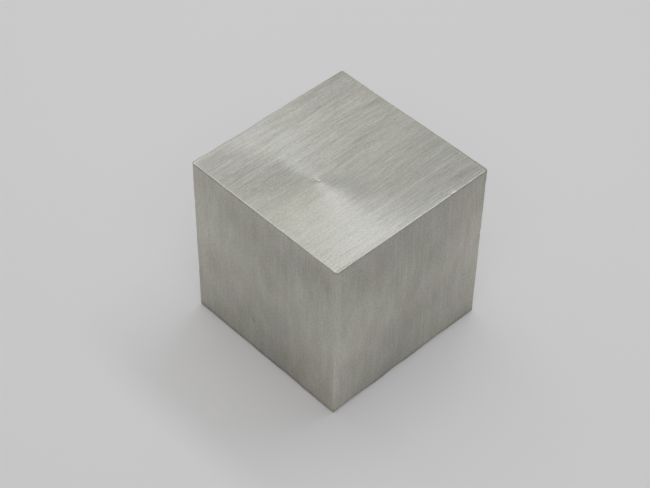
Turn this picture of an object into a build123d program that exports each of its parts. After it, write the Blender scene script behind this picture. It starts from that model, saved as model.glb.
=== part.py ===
"""Cube ingot of high-purity tin: one solid block, faced square on all six sides, with every edge broken.

Millimetres, +Z up. The origin is the middle of the face that the block stands on.
"""

import os

from build123d import *

# Finished size of the block
length = 50.0  # along X
width = 50.0  # along Y
height = 50.0  # along Z

# Edge breaks: the four upright edges are rubbed rounder than the rims of the top and bottom faces
upright_edge_radius = 0.7
rim_edge_radius = 0.3

# The block: a square section with rounded corners, drawn up to its height, then both rims rounded over
with BuildPart() as tin_block:
    with BuildSketch(Plane.XY):
        RectangleRounded(length, width, upright_edge_radius)
    extrude(amount=height)
    rim_edges = faces().filter_by(Axis.Z).edges()
    fillet(rim_edges, radius=rim_edge_radius)

tin_block.part.label = "tin_block"

os.makedirs("parts", exist_ok=True)
export_step(tin_block.part, "parts/tin_block.step")
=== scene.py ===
"""Cube of high-purity tin on a pale studio floor: faced, brushed, and lightly worn at its edges."""

import math

import bpy
import numpy as np
from mathutils import Matrix, Vector


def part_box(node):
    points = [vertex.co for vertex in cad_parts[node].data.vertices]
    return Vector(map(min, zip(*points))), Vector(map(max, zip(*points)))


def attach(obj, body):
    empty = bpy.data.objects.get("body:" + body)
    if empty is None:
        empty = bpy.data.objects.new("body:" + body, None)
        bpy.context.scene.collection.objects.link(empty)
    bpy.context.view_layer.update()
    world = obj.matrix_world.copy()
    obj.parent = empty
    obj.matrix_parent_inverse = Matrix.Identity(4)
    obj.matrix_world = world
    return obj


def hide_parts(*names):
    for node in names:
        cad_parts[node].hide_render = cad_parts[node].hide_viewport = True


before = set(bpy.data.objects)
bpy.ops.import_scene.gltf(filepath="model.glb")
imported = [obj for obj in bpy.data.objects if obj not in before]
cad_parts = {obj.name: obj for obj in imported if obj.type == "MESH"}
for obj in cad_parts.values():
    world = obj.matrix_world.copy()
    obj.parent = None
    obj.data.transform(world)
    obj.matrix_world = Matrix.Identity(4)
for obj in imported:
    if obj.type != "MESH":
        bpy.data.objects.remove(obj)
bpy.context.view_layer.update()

MM = 0.001
SEED = 7
WHITE = (1.0, 1.0, 1.0)
NOISE_MIDDLE = 0.5

# The block, from the frame
block_low, block_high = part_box("tin_block")
block_size = block_high - block_low
block_middle = (block_low + block_high) / 2
edge = block_size.z

# Each face: the axis that it faces along, and which end of that axis it is at
FACES = {
    "left": (0, 0),
    "right": (0, 1),
    "front": (1, 0),
    "back": (1, 1),
    "bottom": (2, 0),
    "top": (2, 1),
}
SIDES = ("left", "right", "front", "back")

# Edge breaks: radii of the upright edges and of the top and bottom rims, and how far wear makes them wander
upright_radius = 0.7 * MM
top_rim_radius = 0.25 * MM
bottom_rim_radius = 0.5 * MM
upright_wear_share = 0.18
rim_wear_share = 0.3
wear_waves = (3.1 * MM, 5.3 * MM, 9.7 * MM, 17.0 * MM)

# How brushing rolls each face over towards its edges
roll_width = 0.8 * MM
roll_depth = 0.02 * MM

# How handling polishes and roughens the edges, with a painted highlight along them: width, brightening
# partly from polish and partly painted highlight, and roughness
wear_and_highlight_width = 0.35 * MM
wear_and_painted_edge_highlight = 0.02
handling_roughness = 0.08

# Mesh spacing: fine at the edges and across narrow marks, wider between them
fine_step = 0.08 * MM
wide_step = 0.65 * MM
step_growth = 0.3
narrow_mark = 1.5 * wide_step

# Half length in millimetres of a mark that runs along a whole edge
whole_half = 1.2 * edge / MM

# How far below a face a point still counts as on it, in millimetres
face_reach = 0.4

# Turning centre of each face, sideways and upwards from the middle of the face, in millimetres
turning_centres = {
    "top": (-7.2, -0.34),
    "bottom": (0.8, 1.1),
    "left": (-2.5, 0.0),
    "right": (-0.9, 0.4),
    "front": (3.6, 0.0),
    "back": (0.6, -0.7),
}

# Small hollows in the faces: place from the middle of the face and half sizes, both sideways and upwards,
# and depth, all in millimetres, then how much painted shade darkens the metal in them and how much smoother
# it is
hollows = (
    ("top", turning_centres["top"], (0.42, 0.42), 0.08, 0.0, 0.05),
    ("top", (-5.6, 7.8), (0.6, 0.45), 0.02, 0.12, 0.0),
    ("left", (3.9, -14.1), (0.85, 1.4), 0.07, 0.21, 0.0),
    ("front", (19.65, 9.9), (0.5, 4.2), 0.05, 0.21, 0.0),
    ("right", (-8.2, 4.6), (0.5, 0.7), 0.08, 0.15, 0.0),
    ("back", (11.3, -9.4), (0.6, 0.5), 0.1, 0.15, 0.0),
)

# Nicks and worn stretches of the edges: the axis that the edge runs along, its sides of the other two axes,
# then its place from the middle of the edge, its length and its depth on those two sides, in millimetres
nicks = (
    (0, (-1, -1), 0.0, 2 * whole_half, (0.1, 0.1)),
    (0, (-1, -1), -19.5, 16.0, (0.45, 0.45)),
    (0, (-1, -1), -3.8, 8.5, (0.32, 0.32)),
    (0, (-1, -1), 10.0, 14.0, (0.16, 0.16)),
    (0, (-1, 1), 13.0, 2.6, (0.08, 0.08)),
    (0, (1, -1), 6.0, 3.2, (0.2, 0.2)),
    (0, (1, 1), -19.0, 9.0, (0.24, 0.0)),
    (0, (1, 1), -9.2, 16.0, (0.32, 0.0)),
    (1, (-1, -1), 5.5, 4.0, (0.06, 0.06)),
    (1, (-1, -1), -8.5, 12.0, (0.16, 0.16)),
    (1, (-1, 1), -7.0, 2.6, (0.06, 0.06)),
    (1, (1, -1), -10.5, 3.4, (0.18, 0.18)),
    (1, (1, 1), 11.0, 30.0, (0.13, 0.0)),
    (2, (-1, -1), 25.0, 2.4, (0.16, 0.16)),
    (2, (-1, 1), -11.0, 3.6, (0.12, 0.12)),
    (2, (1, -1), 4.0, 3.0, (0.12, 0.12)),
    (2, (1, 1), -16.0, 3.4, (0.15, 0.15)),
)

# How far a nick reaches from its edge, in millimetres
nick_reach = 0.9

# Soft patches on the faces, partly real smudges and partly painted light and shade: painted highlights and
# shade along the rims and upright edges, painted shading that stands in for the sheen of the turning marks,
# and painted shade towards the feet of the sides; place and half sizes as for the hollows, and how much
# lighter the metal is
smudges_and_painted_light = (
    ("top", (-24.7, 0.0), (0.35, whole_half), -0.01),
    ("top", (0.0, -24.7), (whole_half, 0.35), -0.13),
    ("top", (-16.0, -24.2), (9.0, 0.9), -0.07),
    ("top", (12.0, -24.4), (14.0, 0.45), 0.03),
    ("top", (-23.7, -15.0), (1.2, 12.0), -0.03),
    ("top", (14.0, -23.5), (12.0, 2.5), -0.04),
    ("top", (14.0, -12.0), (5.0, 3.0), -0.04),
    ("top", (22.0, -24.8), (6.0, 0.4), -0.09),
    ("top", (21.5, -24.4), (4.0, 0.4), 0.15),
    ("top", (7.0, -24.5), (3.0, 0.35), 0.16),
    ("top", (-21.0, -24.6), (4.5, 0.5), -0.1),
    ("top", (-24.85, 20.0), (0.35, 6.0), -0.14),
    ("top", (24.4, 21.0), (0.5, 5.0), -0.07),
    ("top", (22.5, 24.8), (4.0, 0.35), -0.12),
    ("top", (-12.0, 23.1), (4.5, 0.7), 0.14),
    ("top", (0.0, 24.8), (whole_half, 0.5), 0.18),
    ("top", (-20.0, 24.7), (8.0, 0.6), 0.3),
    ("top", (9.0, 24.2), (7.0, 1.2), -0.06),
    ("top", (24.8, 0.0), (0.35, whole_half), 0.17),
    ("top", (24.4, -14.0), (0.6, 12.0), 0.05),
    ("top", (-10.0, 20.0), (4.0, 6.0), 0.09),
    ("top", (19.0, 22.5), (8.0, 4.0), -0.09),
    ("top", (-20.0, 8.0), (6.0, 4.0), -0.08),
    ("top", (-4.6, 5.0), (3.0, 5.0), -0.09),
    ("top", (-10.8, 8.5), (1.8, 4.5), -0.1),
    ("top", (-19.0, 3.5), (6.0, 3.0), -0.05),
    ("top", (-5.0, -13.0), (1.8, 4.5), -0.06),
    ("top", (8.0, -6.0), (9.0, 5.0), 0.07),
    ("top", (20.5, 2.0), (6.0, 9.0), 0.05),
    ("top", (-20.0, -4.0), (5.0, 5.0), 0.05),
    ("top", (-2.0, -9.0), (2.5, 4.0), -0.04),
    ("top", (-8.0, -6.5), (2.0, 5.0), 0.06),
    ("top", (-12.9, 5.3), (3.5, 3.5), -0.04),
    ("top", (7.0, -17.5), (4.0, 3.0), 0.05),
    ("left", (-24.9, 0.0), (1.3, whole_half), 0.07),
    ("left", (-24.4, 19.0), (0.9, 7.0), 0.025),
    ("left", (-23.5, -15.5), (2.0, 3.5), 0.035),
    ("left", (-24.9, 3.0), (0.5, 8.0), -0.07),
    ("left", (0.0, 24.5), (whole_half, 2.5), 0.05),
    ("left", (0.0, 24.85), (whole_half, 0.25), 0.1),
    ("left", (24.4, -10.0), (0.8, 15.0), -0.05),
    ("left", (21.0, 9.0), (9.0, 9.0), 0.11),
    ("left", (22.0, 22.0), (6.0, 5.0), 0.07),
    ("left", (0.0, 21.0), (9.0, 5.0), 0.05),
    ("left", (10.5, 19.4), (2.5, 3.5), -0.06),
    ("left", (-18.9, 20.0), (3.5, 4.0), -0.09),
    ("left", (-15.0, 8.0), (5.0, 5.0), 0.05),
    ("left", (0.0, 7.0), (12.0, 7.0), 0.03),
    ("left", (-19.5, -3.5), (6.0, 9.0), 0.12),
    ("left", (15.8, -0.3), (2.2, 1.6), -0.04),
    ("left", (4.0, -14.5), (14.0, 6.0), -0.08),
    ("left", (-6.0, -23.0), (9.0, 6.0), -0.15),
    ("left", (10.0, -23.5), (10.0, 5.0), -0.09),
    ("left", (21.0, -23.0), (6.0, 4.0), -0.05),
    ("front", (-24.9, 0.0), (2.0, whole_half), 0.08),
    ("front", (-23.9, 20.0), (1.3, 7.0), 0.035),
    ("front", (-21.3, 14.0), (1.6, 6.0), -0.035),
    ("front", (0.0, 24.85), (whole_half, 0.25), 0.1),
    ("front", (-24.9, 3.0), (0.5, 8.0), -0.07),
    ("front", (-19.0, -2.5), (8.0, 8.0), 0.11),
    ("front", (22.5, 2.5), (4.5, 8.5), 0.1),
    ("front", (-15.0, 18.0), (7.0, 6.0), -0.07),
    ("front", (24.4, 18.0), (1.6, 8.0), -0.13),
    ("front", (17.0, 21.0), (6.0, 2.5), -0.03),
    ("front", (20.7, 9.8), (0.6, 3.5), 0.08),
    ("front", (0.0, 20.0), (6.0, 5.0), -0.03),
    ("front", (-7.0, 17.0), (3.5, 7.0), -0.06),
    ("front", (9.5, 9.5), (4.5, 5.5), -0.07),
    ("front", (1.0, 1.0), (3.5, 5.0), -0.06),
    ("front", (-4.0, -12.0), (4.5, 7.0), -0.08),
    ("front", (-6.0, -22.5), (6.0, 4.0), -0.12),
    ("front", (-18.0, -21.5), (3.0, 4.0), -0.03),
    ("front", (-23.2, -22.5), (2.4, 3.2), 0.05),
    ("front", (-21.0, -12.0), (5.0, 5.0), 0.04),
    ("front", (11.0, -12.5), (7.0, 7.0), -0.06),
    ("front", (20.0, -23.5), (6.0, 3.5), -0.09),
    ("front", (22.8, -21.5), (1.8, 1.8), -0.07),
    ("right", (-19.0, 6.0), (7.0, 9.0), 0.09),
    ("right", (18.0, -4.0), (8.0, 7.0), 0.08),
    ("right", (4.0, 19.0), (6.0, 5.0), -0.06),
    ("right", (-9.0, -9.0), (4.0, 5.0), -0.05),
    ("right", (7.0, -22.0), (9.0, 5.0), -0.1),
    ("right", (-16.0, 21.0), (3.0, 3.5), -0.07),
    ("back", (20.0, 3.0), (8.0, 8.0), 0.1),
    ("back", (-21.0, -1.0), (6.0, 9.0), 0.08),
    ("back", (-8.0, 18.0), (7.0, 5.0), -0.06),
    ("back", (13.0, 20.5), (3.0, 4.0), -0.06),
    ("back", (2.0, -6.0), (4.0, 4.0), -0.04),
    ("back", (-5.0, -22.5), (8.0, 5.0), -0.12),
    ("bottom", (-12.0, 9.0), (8.0, 6.0), -0.07),
    ("bottom", (14.0, -11.0), (9.0, 7.0), 0.06),
    ("bottom", (6.0, 17.0), (6.0, 4.0), -0.05),
    ("bottom", (-17.0, -16.0), (5.0, 6.0), 0.05),
)

# A painted shadow along the foot of each side, a dark line where the floor's contact shadow falls: place
# and half sizes as for the hollows, and its shade
foot_place = (0.0, -24.4)
foot_half_size = (2 * edge / MM, 0.8)
painted_foot_shadow = -0.27

# Finish of the top and bottom, and of the sides: how strongly brushed, grained and mottled, and how rough
flat_finish = (1.0, 0.36, 0.25, 0.4)
side_finish = (0.56, 0.46, 0.29, 0.58)

# Patches where the brush bit harder or softer: place and half sizes, and how much stronger its lines are
rubbings = (
    ("top", (-21.0, 13.0), (6.0, 11.0), 0.5),
    ("top", (22.0, 15.0), (4.5, 11.0), 0.35),
    ("top", (-14.0, -12.0), (10.0, 8.0), -0.4),
    ("left", (-17.0, 19.0), (8.0, 5.0), 0.6),
    ("left", (14.0, 9.0), (8.0, 8.0), -0.15),
    ("front", (10.0, 20.0), (14.0, 5.0), 0.5),
    ("front", (8.0, -4.0), (8.0, 12.0), 0.25),
    ("front", (-20.0, 6.0), (5.0, 9.0), -0.25),
    ("right", (12.0, 15.0), (10.0, 7.0), 0.4),
    ("back", (-14.0, 12.0), (9.0, 9.0), 0.4),
    ("bottom", (10.0, 14.0), (10.0, 8.0), 0.4),
)

# Patches where the brush was turned: place and half sizes, and by how many degrees
bends = (
    ("top", (4.0, 4.0), (7.0, 5.0), 5.0),
    ("top", (11.0, -10.0), (13.0, 6.0), 5.0),
    ("top", (-20.0, 3.0), (6.0, 4.0), -6.0),
    ("top", (0.0, 19.0), (7.0, 5.0), -4.0),
    ("left", (-8.0, 6.0), (9.0, 9.0), -3.0),
    ("front", (6.0, 2.0), (9.0, 9.0), 3.0),
    ("right", (5.0, -6.0), (10.0, 9.0), 4.0),
    ("back", (-6.0, 4.0), (9.0, 10.0), -4.0),
    ("bottom", (-8.0, 5.0), (11.0, 8.0), 5.0),
)

# Tin: its colour in linear light, what shading does to each of red, green and blue, and its stretched sheen
tin_colour = (0.596, 0.587, 0.522)
shade_tint = (0.93, 0.97, 1.15)
turned_sheen = 0.5

# Brush lines: how much they shade, roughen and groove the metal, and how far and over what size they sway
line_shade = 0.28
line_roughness = 0.08
line_depth = 0.006 * MM
line_sway = 0.3
sway_size = (18.0, 7.0)
sway_detail = 1.0

# Layers of brush lines: grain length and width in millimetres, tilt in degrees, detail and weight
brush_layers = (
    ((45.0, 1.6), 0.5, 1.0, 0.8),
    ((30.0, 0.5), -0.8, 2.0, 0.8),
    ((16.0, 0.3), 1.2, 1.0, 0.9),
    ((8.0, 0.3), -1.8, 1.0, 0.9),
    ((4.0, 0.34), 2.2, 1.0, 0.9),
    ((1.8, 0.4), -2.0, 1.0, 0.7),
)

# Sparse hairlines: length and width in millimetres, tilt in degrees, detail, noise range and brightness
hairline_size = (24.0, 0.22)
hairline_tilt = -4.0
hairline_detail = 0.0
hairline_range = (0.68, 0.8)
hairline_shade = 0.2

# Fine grain and soft mottling: length and width in millimetres, tilt in degrees, and detail
grain_size = (0.6, 0.5)
grain_detail = 1.0
mottle_size = (9.0, 4.5)
mottle_tilt = 6.0
mottle_detail = 2.0

# Wander of hue: length and width in millimetres, detail, strength, and where in the noise it is taken
hue_size = (15.0, 10.0)
hue_detail = 3.0
hue_shade = 0.06
hue_place = (0.0, 0.0, 7.0)

# How far apart the faces are in the textures, in millimetres, and how they are laid out in the UV map
slice_gap = 100.0
uv_columns = 2
uv_rows = 3
uv_margin = 0.01

# Studio light: elevation in degrees, places and sizes in metres, brightness as radiance
strip_elevation = 62.6
strip_distance = 0.666
strip_size = (0.448, 0.097)
strip_radiance = 3.95
strip_colour = (0.955, 1.0, 1.12)
panel_middle = (0.065, 0.171)
panel_height = 0.318
panel_size = (0.387, 0.237)
panel_radiance = 0.812
fill_place = (-0.318, -0.318, 0.56)
fill_size = (0.5, 0.5)
fill_radiance = 0.8
fill_colour = (1.0, 1.0, 1.08)
surround_low = 0.03
surround_high = 0.594
surround_rise = 1.61

# Floor: its colour in linear light, its glow towards the camera and in reflections, and its half width
floor_colour = (0.81, 0.8, 0.789, 1.0)
floor_glow = 0.08
floor_half = 60 * edge

# Camera, fitted to the block's edges: its angles, its distance, and where the block is in the picture
camera_azimuth = math.radians(-44.23)
camera_elevation = math.radians(45.93)
camera_roll = math.radians(0.894)
camera_distance = 8.339 * edge
block_right_of_centre = 0.0645 * edge
block_above_centre = 0.0235 * edge

# Sensor width and focal length in millimetres, and where the view starts in metres
camera_sensor = 36.0
camera_lens = 92.98
camera_start = 0.01


def face_axes(axis):
    """The two axes of a face: sideways and upwards on a side face, X and Y on the top and bottom."""
    return (0, 1) if axis == 2 else (1 - axis, 2)


def graded_lines(low, high, spots):
    """Grid lines from low to high, close together at both ends and at each spot between."""
    near = np.array([low, high] + list(spots))
    lines = [low]
    while lines[-1] < high:
        away = np.abs(near - lines[-1]).min()
        lines.append(lines[-1] + min(fine_step + step_growth * away, wide_step))
    lines = np.array(lines)
    return low + (lines - low) * (high - low) / (lines[-1] - low)


def narrow_spots():
    """The places along each axis where a narrow hollow needs the grid to be fine."""
    spots = [[], [], []]
    for face, place, half_size, _, _, _ in hollows:
        for axis, offset, half in zip(face_axes(FACES[face][0]), place, half_size):
            if half * MM < narrow_mark:
                spots[axis].append(block_middle[axis] + offset * MM)
    return spots


def box_grid(lines):
    """Points, quads and each quad's face number for a welded grid over the six sides of a box."""
    counts = [len(line) for line in lines]
    quads = []
    sides = []
    for number, (axis, end) in enumerate(FACES.values()):
        first = (axis + 1) % 3
        second = (axis + 2) % 3
        steps = np.meshgrid(np.arange(counts[first]), np.arange(counts[second]), indexing="ij")
        place = [None, None, None]
        place[first], place[second] = steps
        place[axis] = np.full_like(steps[0], end * (counts[axis] - 1))
        key = np.ravel_multi_index(place, counts)
        corners = np.stack([key[:-1, :-1], key[1:, :-1], key[1:, 1:], key[:-1, 1:]], -1).reshape(-1, 4)
        quads.append(corners if end else corners[:, ::-1])
        sides.append(np.full(len(corners), number))
    used, quads = np.unique(np.concatenate(quads), return_inverse=True)
    places = np.unravel_index(used, counts)
    points = np.stack([line[place] for line, place in zip(lines, places)], -1)
    return points, quads.reshape(-1, 4), np.concatenate(sides)


def waves(along, rng):
    """A smooth wandering value between about -1 and 1 along an edge."""
    total = np.zeros_like(along)
    for length in wear_waves:
        total += np.sin(2 * np.pi * along / length + rng.uniform(0, 2 * np.pi))
    return total / len(wear_waves)


def worn_radii(points, rng):
    """Radius of the upright edge and of the rim nearest to each point."""
    x, y, z = (points - np.array(block_middle)).T
    upright = np.full(len(points), upright_radius)
    rim = np.where(z > 0, top_rim_radius, bottom_rim_radius)
    for side_x in (-1, 1):
        for side_y in (-1, 1):
            own = (np.sign(x) == side_x) & (np.sign(y) == side_y)
            upright[own] *= 1 + upright_wear_share * waves(z, rng)[own]
    for side_z in (-1, 1):
        for along, across in ((x, y), (y, x)):
            nearest = np.abs(across) >= np.abs(along)
            for side in (-1, 1):
                own = (np.sign(z) == side_z) & (np.sign(across) == side) & nearest
                rim[own] *= 1 + rim_wear_share * waves(along, rng)[own]
    return upright, rim


def turn_corner(first, second):
    """Where both distances are past the start of a round edge, how far, and the share of that to keep."""
    past = (first > 0) & (second > 0)
    length = np.where(past, np.hypot(first, second), 1.0)
    pull = np.where(past, np.maximum(first, second) / length, 1.0)
    return past, length, pull


def round_edges(points, upright, rim):
    """Bend a sharp box grid to the block's rounded upright edges, then to its rounded rims."""
    middle = np.array(block_middle)
    half = np.array(block_size) / 2
    local = points - middle
    sign = np.where(local < 0, -1.0, 1.0)
    size = np.abs(local)
    over_x = size[:, 0] - (half[0] - upright)
    over_y = size[:, 1] - (half[1] - upright)
    corner, length, pull = turn_corner(over_x, over_y)
    size[:, 0] = np.where(corner, half[0] - upright + over_x * pull, size[:, 0])
    size[:, 1] = np.where(corner, half[1] - upright + over_y * pull, size[:, 1])
    out_x = np.where(corner, over_x / length, np.where(over_x >= over_y, 1.0, 0.0))
    out_y = np.where(corner, over_y / length, np.where(over_x >= over_y, 0.0, 1.0))
    over_wall = np.maximum(over_x, over_y) - (upright - rim)
    over_z = size[:, 2] - (half[2] - rim)
    turned, _, pull = turn_corner(over_wall, over_z)
    inward = np.where(turned, over_wall * (1 - pull), 0.0)
    size[:, 0] -= out_x * inward
    size[:, 1] -= out_y * inward
    size[:, 2] = np.where(turned, half[2] - rim + over_z * pull, size[:, 2])
    return middle + sign * size


def inset(points):
    """How far each point lies inside the nearer face of each axis."""
    return np.array(block_size) / 2 - np.abs(points - np.array(block_middle))


def roll_edges(points):
    """Sink each face slightly towards its edges."""
    inside = inset(points)
    sign = np.where(points < np.array(block_middle), -1.0, 1.0)
    rolled = points.copy()
    for axis in range(3):
        others = [other for other in range(3) if other != axis]
        near_edge = np.clip(1 - inside[:, others].min(1) / roll_width, 0, 1) ** 2
        near_face = np.clip(1 - inside[:, axis] / roll_width, 0, 1)
        rolled[:, axis] -= sign[:, axis] * roll_depth * near_edge * near_face
    return rolled


def cut_nicks(points):
    """Press each nick into its edge, towards the middle of the block."""
    local = points - np.array(block_middle)
    half = np.array(block_size) / 2
    for along, sides, place, length, depths in nicks:
        others = [axis for axis in range(3) if axis != along]
        off = [half[axis] - side * local[:, axis] for axis, side in zip(others, sides)]
        away = np.hypot(*off) / (nick_reach * MM)
        step = (local[:, along] - place * MM) / (length / 2 * MM)
        press = np.clip(1 - away, 0, 1) * np.clip(1 - step ** 2, 0, 1) ** 2
        for axis, side, depth in zip(others, sides, depths):
            points[:, axis] -= side * depth * MM * press
    return points


def on_face(points, face, place, half_size):
    """How far each point lies from a place on a face, in half sizes, and whether it lies on that face."""
    axis, end = FACES[face]
    first, second = face_axes(axis)
    local = (points - np.array(block_middle)) / MM
    sideways = (local[..., first] - place[0]) / half_size[0]
    upwards = (local[..., second] - place[1]) / half_size[1]
    height = local[..., axis] if end else -local[..., axis]
    return np.hypot(sideways, upwards), height > block_size[axis] / MM / 2 - face_reach


def hollow_shape(points, face, place, half_size):
    """How deep each point lies in a hollow: 1 at its middle, 0 at its rim and outside it."""
    away, facing = on_face(points, face, place, half_size)
    return np.where(facing & (away < 1), (1 - np.minimum(away, 1) ** 2) ** 2, 0.0)


def sink_hollows(points):
    """Press the small hollows into their faces."""
    for face, place, half_size, depth, _, _ in hollows:
        axis, end = FACES[face]
        outward = 1 if end else -1
        points[:, axis] -= outward * depth * MM * hollow_shape(points, face, place, half_size)
    return points


def face_frame(name):
    """Turning centre of a face, and the axes that its brush lines run along and across."""
    axis, end = FACES[name]
    first, second = face_axes(axis)
    sideways, upwards = turning_centres[name]
    centre = np.array(block_middle)
    centre[axis] = (block_high if end else block_low)[axis]
    centre[first] += sideways * MM
    centre[second] += upwards * MM
    along, across = (second, first) if name in SIDES else (first, second)
    return centre, along, across


def patch_sum(points, patches):
    """What a set of soft patches adds up to at each point."""
    total = np.zeros(points.shape[:-1])
    for face, place, half_size, amount in patches:
        away, facing = on_face(points, face, place, half_size)
        total += np.where(facing, amount * np.exp(-away ** 2), 0.0)
    return total


def brushed_place(points, name, along, across):
    """Where each point of a face lies along and across its brush lines, in millimetres."""
    lay = np.zeros(points.shape)
    lay[..., 0] = points[..., along] / MM
    lay[..., 1] = points[..., across] / MM
    for face, place, half_size, tilt in bends:
        if face == name:
            away, _ = on_face(points, face, place, half_size)
            middle = dict(zip(face_axes(FACES[face][0]), place))
            from_middle = lay[..., 0] - block_middle[along] / MM - middle[along]
            lay[..., 1] -= math.tan(math.radians(tilt)) * from_middle * np.exp(-away ** 2)
    return lay


def surface_state(points):
    """How much lighter and how much rougher the metal is at each point: painted highlights and shade at the
    edges, rims, faces, feet and hollows, with real wear and smudges.
    """
    to_edge = np.sort(inset(points), axis=-1)[..., 1]
    # Polish from handling and a painted highlight near the edges, with roughening from wear
    worn_and_highlit = np.exp(-(to_edge / wear_and_highlight_width) ** 2)
    # Painted contact shadows along the feet of the sides
    foot_shadows = tuple((side, foot_place, foot_half_size, painted_foot_shadow) for side in SIDES)
    # Painted highlights and shade from the smudge table and the foot lines, with a real smudge here and
    # there
    lighter = wear_and_painted_edge_highlight * worn_and_highlit + patch_sum(points, smudges_and_painted_light + foot_shadows)
    rougher = handling_roughness * worn_and_highlit
    # Painted shade darkens the metal inside each hollow
    for face, place, half_size, _, darker, smoother in hollows:
        shape = hollow_shape(points, face, place, half_size)
        lighter -= darker * shape
        rougher -= smoother * shape
    return lighter, rougher


def corner_values(points, quads, sides):
    """The vectors, the numbers and the UV places that the face corners carry for the material."""
    places = points[quads]
    lighter, rougher = surface_state(points)
    rubbed = patch_sum(points, rubbings)
    names = ("brushing", "graining", "clouding", "painted_light_and_tone", "finish")
    vectors = {name: np.zeros(places.shape, np.float32) for name in ("lay", "turn")}
    numbers = {name: np.zeros(quads.shape, np.float32) for name in names}
    uv = np.zeros(quads.shape + (2,), np.float32)
    numbers["painted_light_and_tone"][:] = lighter[quads]
    for number, name in enumerate(FACES):
        own = sides == number
        place = places[own]
        centre, along, across = face_frame(name)
        vectors["lay"][own] = brushed_place(place, name, along, across)
        vectors["lay"][own, :, 2] = slice_gap * number
        vectors["turn"][own] = place - centre
        brushed, grained, clouded, rough = side_finish if name in SIDES else flat_finish
        numbers["brushing"][own] = brushed * (1 + rubbed[quads[own]])
        numbers["graining"][own] = grained
        numbers["clouding"][own] = clouded
        numbers["finish"][own] = rough + rougher[quads[own]]
        share = (place - np.array(block_low)) / np.array(block_size)
        share = uv_margin + (1 - 2 * uv_margin) * share
        uv[own, :, 0] = (number % uv_columns + share[:, :, across]) / uv_columns
        uv[own, :, 1] = (number // uv_columns + share[:, :, along]) / uv_rows
    return vectors, numbers, uv


def write_corner_values(mesh, vectors, numbers, uv):
    """Store what the face corners carry, as attributes and a UV map."""
    for name, values in vectors.items():
        attribute = mesh.attributes.new(name, "FLOAT_VECTOR", "CORNER")
        attribute.data.foreach_set("vector", values.ravel())
    for name, values in numbers.items():
        attribute = mesh.attributes.new(name, "FLOAT", "CORNER")
        attribute.data.foreach_set("value", values.ravel())
    uv_map = mesh.uv_layers.new(name="OFBake")
    uv_map.data.foreach_set("uv", uv.ravel())


def make_block(material):
    """The block as one welded mesh of quads."""
    rng = np.random.default_rng(SEED)
    spots = narrow_spots()
    lines = [graded_lines(block_low[axis], block_high[axis], spots[axis]) for axis in range(3)]
    flat, quads, sides = box_grid(lines)
    upright, rim = worn_radii(flat, rng)
    points = round_edges(flat, upright, rim)
    points = sink_hollows(cut_nicks(roll_edges(points)))
    mesh = bpy.data.meshes.new("brushed_block")
    mesh.from_pydata(points.tolist(), [], quads.tolist())
    mesh.shade_smooth()
    write_corner_values(mesh, *corner_values(points, quads, sides))
    mesh.materials.append(material)
    block = bpy.data.objects.new("brushed_block", mesh)
    bpy.context.scene.collection.objects.link(block)
    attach(block, "root")
    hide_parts("tin_block")


class Nodes:
    """A short way to add shader nodes and link them."""

    def __init__(self, tree):
        self.tree = tree
        tree.nodes.clear()

    def add(self, kind, inputs=None, **settings):
        """A node of some kind, with its inputs linked or set."""
        node = self.tree.nodes.new("ShaderNode" + kind)
        for key, value in settings.items():
            setattr(node, key, value)
        for key, value in (inputs or {}).items():
            if isinstance(value, bpy.types.NodeSocket):
                self.tree.links.new(value, node.inputs[key])
            else:
                node.inputs[key].default_value = value
        return node

    def attribute(self, name, output="Fac"):
        """What the mesh carries under a name."""
        return self.add("Attribute", attribute_name=name).outputs[output]

    def math(self, operation, first, second):
        """What an operation on two numbers gives."""
        return self.add("Math", {0: first, 1: second}, operation=operation).outputs[0]

    def vector(self, operation, first, second):
        """What an operation on two vectors gives."""
        return self.add("VectorMath", {0: first, 1: second}, operation=operation).outputs[0]

    def scaled(self, vector, factor):
        """A vector times a number."""
        return self.add("VectorMath", {0: vector, "Scale": factor}, operation="SCALE").outputs[0]

    def noise(self, vector, grain, tilt, detail, output="Fac"):
        """Noise from 0 to 1: grains of a length and width in millimetres, tilted by some degrees."""
        placed = self.add(
            "Mapping",
            {"Vector": vector, "Rotation": (0.0, 0.0, math.radians(tilt)), "Scale": grain + (1.0,)},
            vector_type="TEXTURE",
        )
        made = self.add("TexNoise", {"Vector": placed.outputs[0], "Scale": 1.0, "Detail": detail})
        return made.outputs[output]

    def wander(self, vector, grain, tilt, detail):
        """The same noise, around 0."""
        return self.math("SUBTRACT", self.noise(vector, grain, tilt, detail), NOISE_MIDDLE)

    def remap(self, value, low, high, to_low, to_high):
        """A number brought from one range to another, and held inside it."""
        made = self.add(
            "MapRange",
            {"Value": value, "From Min": low, "From Max": high, "To Min": to_low, "To Max": to_high},
        )
        return made.outputs[0]


def brush_lines(nodes, lay):
    """Straight brush lines, lighter above 0 and darker below: soft bands, strands, and short fine hairs."""
    sway = nodes.wander(lay, sway_size, 0.0, sway_detail)
    offset = nodes.add("CombineXYZ", {"Y": nodes.math("MULTIPLY", sway, line_sway)}).outputs[0]
    swayed = nodes.vector("ADD", lay, offset)
    total = None
    for grain, tilt, detail, weight in brush_layers:
        layer = nodes.math("MULTIPLY", nodes.wander(swayed, grain, tilt, detail), weight)
        total = layer if total is None else nodes.math("ADD", total, layer)
    return total


def hairlines(nodes, lay):
    """Sparse bright scratches, from 0 to 1."""
    field = nodes.noise(lay, hairline_size, hairline_tilt, hairline_detail)
    return nodes.remap(field, hairline_range[0], hairline_range[1], 0.0, 1.0)


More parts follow.
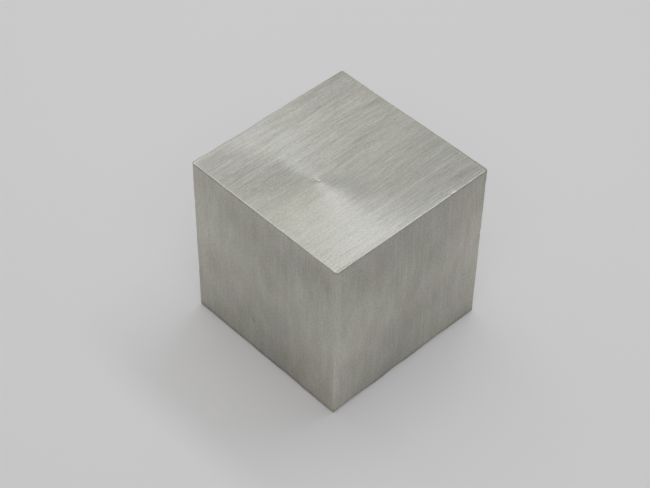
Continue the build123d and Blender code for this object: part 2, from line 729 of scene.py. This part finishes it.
def hue_wander(nodes, lay):
    """A slight wander of hue: a factor for each of red, green and blue, near 1."""
    moved = nodes.vector("ADD", lay, hue_place)
    field = nodes.noise(moved, hue_size, 0.0, hue_detail, output="Color")
    shift = nodes.vector("SUBTRACT", field, (NOISE_MIDDLE, NOISE_MIDDLE, NOISE_MIDDLE))
    return nodes.vector("ADD", nodes.scaled(shift, hue_shade), WHITE)


def surface_shade(nodes, lay, lines, brushing):
    """How much lighter the brush lines, the grain, the mottling and the hairlines make the metal."""
    grain = nodes.wander(lay, grain_size, 0.0, grain_detail)
    mottle = nodes.wander(lay, mottle_size, mottle_tilt, mottle_detail)
    scratches = nodes.math("MULTIPLY", hairlines(nodes, lay), brushing)
    shade = nodes.math("MULTIPLY", lines, line_shade)
    shade = nodes.math("ADD", shade, nodes.math("MULTIPLY", grain, nodes.attribute("graining")))
    shade = nodes.math("ADD", shade, nodes.math("MULTIPLY", mottle, nodes.attribute("clouding")))
    return nodes.math("ADD", shade, nodes.math("MULTIPLY", scratches, hairline_shade))


def tin_material():
    """Faced and brushed tin: circular facing marks under fine straight brush lines."""
    material = bpy.data.materials.new("brushed_tin")
    material.use_nodes = True
    nodes = Nodes(material.node_tree)
    lay = nodes.attribute("lay", "Vector")
    brushing = nodes.attribute("brushing")
    lines = nodes.math("MULTIPLY", brush_lines(nodes, lay), brushing)
    shading = nodes.scaled(shade_tint, surface_shade(nodes, lay, lines, brushing))
    # Painted highlights and shade, with real smudges and wear, lighten or darken the base colour here
    level = nodes.vector("ADD", shading, nodes.math("ADD", nodes.attribute("painted_light_and_tone"), 1.0))
    tinted = nodes.vector("MULTIPLY", tin_colour, hue_wander(nodes, lay))
    rough_lines = nodes.math("MULTIPLY", lines, line_roughness)
    bump = nodes.add("Bump", {"Strength": 1.0, "Distance": line_depth, "Height": lines})
    shader = nodes.add(
        "BsdfPrincipled",
        {
            "Base Color": nodes.vector("MULTIPLY", tinted, level),
            "Metallic": 1.0,
            "Roughness": nodes.math("ADD", rough_lines, nodes.attribute("finish")),
            "Anisotropic": turned_sheen,
            "Tangent": nodes.attribute("turn", "Vector"),
            "Normal": bump.outputs[0],
        },
    )
    nodes.add("OutputMaterial", {"Surface": shader.outputs[0]})
    return material


def floor_material():
    """Matt pale paper."""
    material = bpy.data.materials.new("pale_floor")
    material.use_nodes = True
    nodes = Nodes(material.node_tree)
    paper = nodes.add("BsdfDiffuse", {"Color": floor_colour})
    path = nodes.add("LightPath").outputs
    seen = nodes.math("MAXIMUM", path["Is Camera Ray"], path["Is Glossy Ray"])
    seen = nodes.math("MAXIMUM", seen, path["Is Transmission Ray"])
    glow = nodes.add("Emission", {"Strength": nodes.math("MULTIPLY", seen, floor_glow)})
    both = nodes.add("AddShader", {0: paper.outputs[0], 1: glow.outputs[0]})
    nodes.add("OutputMaterial", {"Surface": both.outputs[0]})
    return material


def make_floor():
    """A wide plain floor that the block stands on."""
    near, far = -floor_half, floor_half
    corners = [(near, near, 0), (far, near, 0), (far, far, 0), (near, far, 0)]
    mesh = bpy.data.meshes.new("floor")
    mesh.from_pydata(corners, [], [(0, 1, 2, 3)])
    mesh.materials.append(floor_material())
    floor = bpy.data.objects.new("floor", mesh)
    floor.location.z = block_low.z
    bpy.context.scene.collection.objects.link(floor)


def add_panel(name, place, aim, size, radiance, colour=WHITE):
    """A soft panel of some width and height that faces a point, its width as near to Y as it can be."""
    lamp = bpy.data.lights.new(name, "AREA")
    lamp.shape = "RECTANGLE"
    lamp.size, lamp.size_y = size
    lamp.energy = radiance * math.pi * size[0] * size[1]
    lamp.color = colour
    holder = bpy.data.objects.new(name, lamp)
    back = (place - aim).normalized()
    side = (Vector((0, 1, 0)) - back * back.y).normalized()
    turned = Matrix((side, back.cross(side), back)).transposed().to_4x4()
    holder.matrix_world = Matrix.Translation(place) @ turned
    bpy.context.scene.collection.objects.link(holder)


def make_lamps():
    """A long strip high on the right, a panel overhead and behind, and a soft fill in front."""
    slope = math.radians(strip_elevation)
    strip_place = block_middle + strip_distance * Vector((math.cos(slope), 0, math.sin(slope)))
    panel_place = Vector((panel_middle[0], panel_middle[1], block_high.z + panel_height))
    panel_aim = Vector((panel_place.x, panel_place.y, 0))
    add_panel("strip", strip_place, block_middle, strip_size, strip_radiance, strip_colour)
    add_panel("overhead", panel_place, panel_aim, panel_size, panel_radiance)
    add_panel("front_fill", Vector(fill_place), block_middle, fill_size, fill_radiance, fill_colour)


def make_surround():
    """A plain surround that is darker towards the horizon."""
    world = bpy.data.worlds.new("surround")
    world.use_nodes = True
    nodes = Nodes(world.node_tree)
    direction = nodes.add("TexCoord").outputs["Generated"]
    height = nodes.add("SeparateXYZ", {0: direction}).outputs["Z"]
    rise = nodes.math("POWER", nodes.math("MAXIMUM", height, 0.0), surround_rise)
    level = nodes.remap(rise, 0.0, 1.0, surround_low, surround_high)
    background = nodes.add("Background", {"Color": WHITE + (1.0,), "Strength": level})
    nodes.add("OutputWorld", {"Surface": background.outputs[0]})
    bpy.context.scene.world = world


def make_camera():
    """The photograph's camera."""
    right = Vector((math.cos(camera_azimuth), math.sin(camera_azimuth), 0))
    back = Vector((
        math.sin(camera_azimuth) * math.cos(camera_elevation),
        -math.cos(camera_azimuth) * math.cos(camera_elevation),
        math.sin(camera_elevation),
    ))
    up = back.cross(right)
    across = math.cos(camera_roll) * right + math.sin(camera_roll) * up
    upward = math.cos(camera_roll) * up - math.sin(camera_roll) * right
    place = block_middle + camera_distance * back
    place -= block_right_of_centre * across + block_above_centre * upward
    data = bpy.data.cameras.new("camera")
    data.sensor_width = camera_sensor
    data.lens = camera_lens
    data.clip_start = camera_start
    camera = bpy.data.objects.new("camera", data)
    turned = Matrix((across, upward, back)).transposed().to_4x4()
    camera.matrix_world = Matrix.Translation(place) @ turned
    bpy.context.scene.collection.objects.link(camera)
    bpy.context.scene.camera = camera


make_block(tin_material())
make_floor()
make_lamps()
make_surround()
make_camera()
bpy.context.scene.view_settings.view_transform = "Standard"
